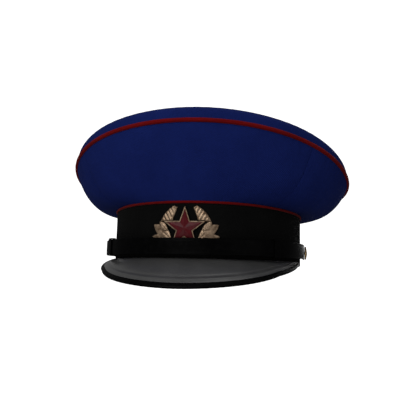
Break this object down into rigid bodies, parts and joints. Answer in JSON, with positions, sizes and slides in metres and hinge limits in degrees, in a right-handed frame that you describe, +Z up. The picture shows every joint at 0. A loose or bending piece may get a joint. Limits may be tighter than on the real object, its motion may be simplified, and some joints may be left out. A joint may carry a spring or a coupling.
{
  "type": "military peaked cap",
  "caption": "Stiff peaked cap with a wide domed crown, piped edges, black band, curved visor, chin strap on side buttons and a star badge.",
  "frame": {"origin": "centre of the head opening, in the plane of the band's lower edge", "axes": "+Z up through the crown, the visor points to -Y, +X is the wearer's left"},
  "size_m": [0.264, 0.2763, 0.1386],
  "materials": {
    "crown_cloth": "woollen gabardine, dark blue",
    "piping_cloth": "dark red cloth",
    "band_piping_cloth": "dark red cloth",
    "cotton_cord": "twisted cotton",
    "hoop_steel": "spring steel",
    "stay_plastic": "semi-matt",
    "canvas": "stiff woven canvas",
    "lining_satin": "satin, slight sheen",
    "clear_film": "thin clear film",
    "band_cloth": "black velvet-like cloth",
    "stiffener_board": "fibre board",
    "sweatband_leather": "brown, fine grain",
    "reed_plastic": "semi-matt",
    "bow_ribbon": "narrow ribbon",
    "pad_foam": "thin felt",
    "visor_gloss": "black lacquered, softly worn",
    "visor_underside": "pebbled black",
    "binding_leather": "black patent",
    "strap_leather": "black patent",
    "keeper_leather": "black patent",
    "button_brass": "lightly aged",
    "badge_gilt": "lightly aged gilt",
    "red_enamel": "translucent hard enamel"
  },
  "bodies": {
    "cap": {"crown_top_panel": "crown_cloth", "crown_front_wall": "crown_cloth", "crown_left_wall": "crown_cloth", "crown_back_wall": "crown_cloth", "crown_right_wall": "crown_cloth", "crown_piping": "piping_cloth", "crown_piping_cord": "cotton_cord", "crown_hoop": "hoop_steel", "hoop_ferrule": "hoop_steel", "front_stay": "stay_plastic", "front_canvas": "canvas", "lining_top": "lining_satin", "lining_front_side": "lining_satin", "lining_left_side": "lining_satin", "lining_back_side": "lining_satin", "lining_right_side": "lining_satin", "lining_shield": "clear_film", "band_cover": "band_cloth", "band_stiffener": "stiffener_board", "band_piping": "band_piping_cloth", "band_piping_cord": "cotton_cord", "sweatband": "sweatband_leather", "sweatband_reed": "reed_plastic", "sweatband_bow": "bow_ribbon", "forehead_pad": "pad_foam", "visor_shell": "visor_gloss", "visor_lining": "visor_underside", "visor_edge_binding": "binding_leather", "badge_wreath": "badge_gilt", "badge_star_frame": "badge_gilt", "badge_star_enamel": "red_enamel", "badge_prongs": "hoop_steel"},
    "chin_strap": {"strap_left_half": "strap_leather", "strap_right_half": "strap_leather"},
    "keeper_left": {"keeper_left": "keeper_leather"},
    "keeper_right": {"keeper_right": "keeper_leather"},
    "button_left": {"button_left_face": "button_brass", "button_left_shank": "button_brass", "button_left_washer": "button_brass", "button_left_pin": "button_brass"},
    "button_right": {"button_right_face": "button_brass", "button_right_shank": "button_brass", "button_right_washer": "button_brass", "button_right_pin": "button_brass"}
  },
  "joints": [
    {"name": "strap_lift", "type": "hinge", "parent": "cap", "child": "chin_strap", "pos_m": [0, 0.003, 0.0125], "axis": [-1, 0, 0], "range_deg": [0, 6]},
    {"name": "keeper_left_slide", "type": "hinge", "parent": "chin_strap", "child": "keeper_left", "pos_m": [0, -0.0224, 0.01201], "axis": [0, 0.0192, -0.9998], "range_deg": [0, 34]},
    {"name": "keeper_right_slide", "type": "hinge", "parent": "chin_strap", "child": "keeper_right", "pos_m": [0, -0.0224, 0.01201], "axis": [0, -0.0192, 0.9998], "range_deg": [0, 34]},
    {"name": "button_left_turn", "type": "hinge", "parent": "cap", "child": "button_left", "pos_m": [0.0915, 0.003, 0.0125], "axis": [1, 0, 0], "continuous": true},
    {"name": "button_right_turn", "type": "hinge", "parent": "cap", "child": "button_right", "pos_m": [-0.0915, 0.003, 0.0125], "axis": [-1, 0, 0], "continuous": true}
  ]
}
